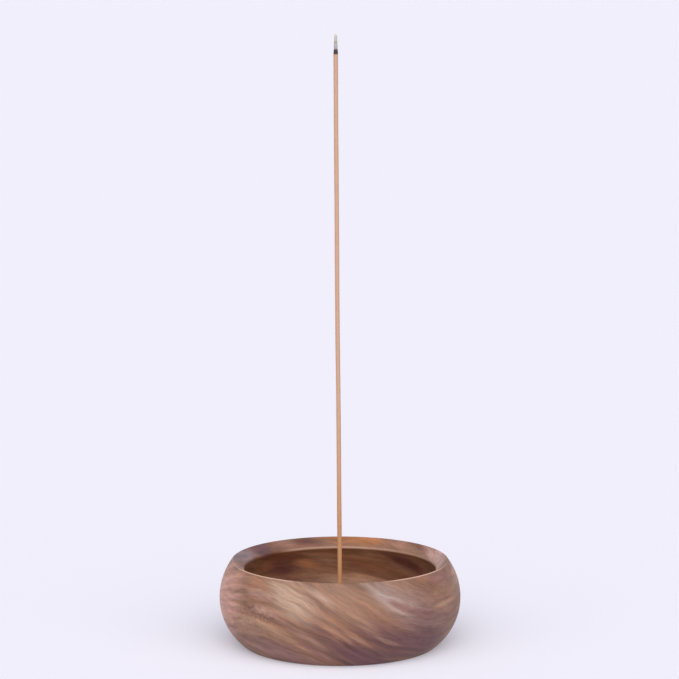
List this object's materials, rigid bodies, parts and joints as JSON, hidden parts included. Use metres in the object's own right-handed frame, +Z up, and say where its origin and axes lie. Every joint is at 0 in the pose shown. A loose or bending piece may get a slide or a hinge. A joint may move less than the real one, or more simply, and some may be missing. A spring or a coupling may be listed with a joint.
{
  "type": "incense burner",
  "caption": "Squat round turned wooden bowl with an inward sloping rim, a lift-out brass ash dish, and an incense stick standing in a central brass socket.",
  "frame": {"origin": "centre of the bowl's foot, on the surface that it stands on", "axes": "+Z up, along the axis that the bowl was turned on; the stick leans slightly towards -X; +Y points to the back"},
  "size_m": [0.087, 0.087, 0.2187],
  "materials": {
    "walnut": "satin",
    "brass": "satin",
    "incense_paste": "matte",
    "char": "matte",
    "ash": "matte"
  },
  "bodies": {
    "bowl": {"bowl": "walnut"},
    "dish": {"ash_dish": "brass", "stick_socket": "brass", "socket_nut": "brass"},
    "stick": {"incense_stick": "incense_paste", "char_band": "char", "ash_column": "ash"}
  },
  "joints": [
    {"name": "dish_lift", "type": "slide", "parent": "bowl", "child": "dish", "axis": [0, 0, 1], "range_m": [0, 0.035]},
    {"name": "stick_lift", "type": "slide", "parent": "dish", "child": "stick", "axis": [-0.0079, 0, 1], "range_m": [0, 0.04]}
  ]
}
